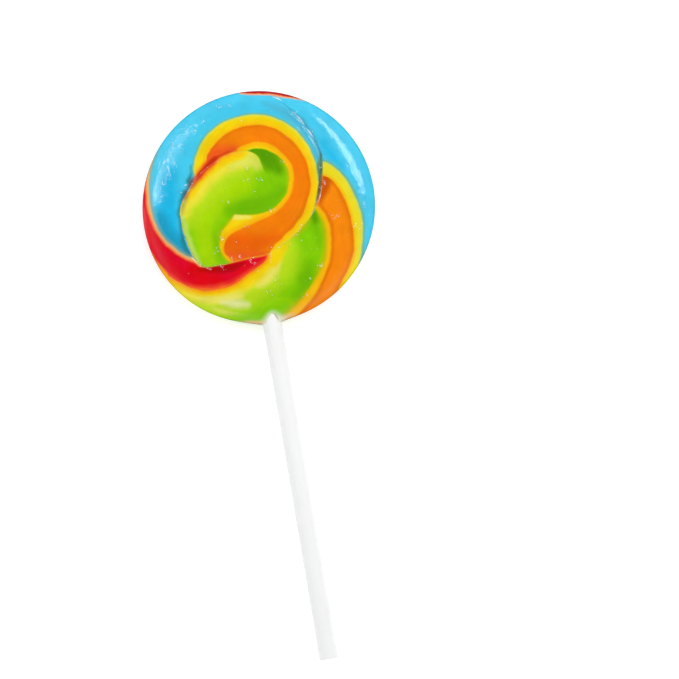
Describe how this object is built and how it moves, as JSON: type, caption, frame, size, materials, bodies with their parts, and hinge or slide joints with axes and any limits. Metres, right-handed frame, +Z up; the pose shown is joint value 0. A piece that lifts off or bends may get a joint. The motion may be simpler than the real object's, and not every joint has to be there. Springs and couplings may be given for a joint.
{
  "type": "swirl lollipop",
  "caption": "Round flat lollipop of pressed, coiled rainbow candy on a straight white paper stick, lying on its back with its swirled face up.",
  "frame": {"origin": "middle of the small flat that the candy rests on, under the middle of the candy", "axes": "+Z up out of the shown face, -Y along the stick away from the candy, +X to the right of the shown face with the stick pointing down"},
  "size_m": [0.0547, 0.1344, 0.0094],
  "materials": {
    "candy": "gloss",
    "stick": "satin"
  },
  "bodies": {
    "root": {"candy_swirl": "candy", "stick": "stick"}
  },
  "joints": []
}
